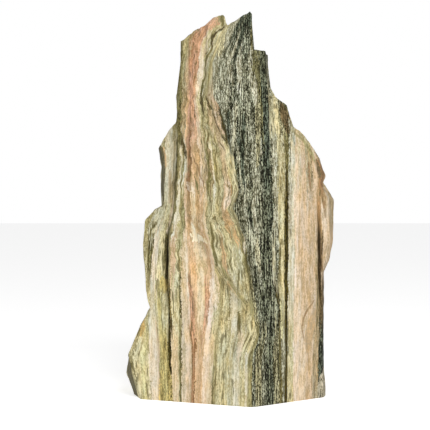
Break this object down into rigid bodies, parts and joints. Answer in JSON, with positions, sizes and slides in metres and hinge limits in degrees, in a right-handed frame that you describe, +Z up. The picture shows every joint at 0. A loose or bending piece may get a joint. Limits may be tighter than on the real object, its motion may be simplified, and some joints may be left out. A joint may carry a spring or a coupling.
{
  "type": "marble fountain stone",
  "caption": "Upright block of banded marble with a broken, ragged surface, a flat sawn base and a water bore from base to top.",
  "frame": {"origin": "centre of the bounding box's bottom, on the surface that the sawn base stands on", "axes": "+Z up, the face in the picture towards -Y, +X to its right"},
  "size_m": [0.433, 0.3082, 0.7917],
  "materials": {
    "marble": "rough banded marble, matt"
  },
  "bodies": {
    "root": {"stone": "marble"}
  },
  "joints": []
}
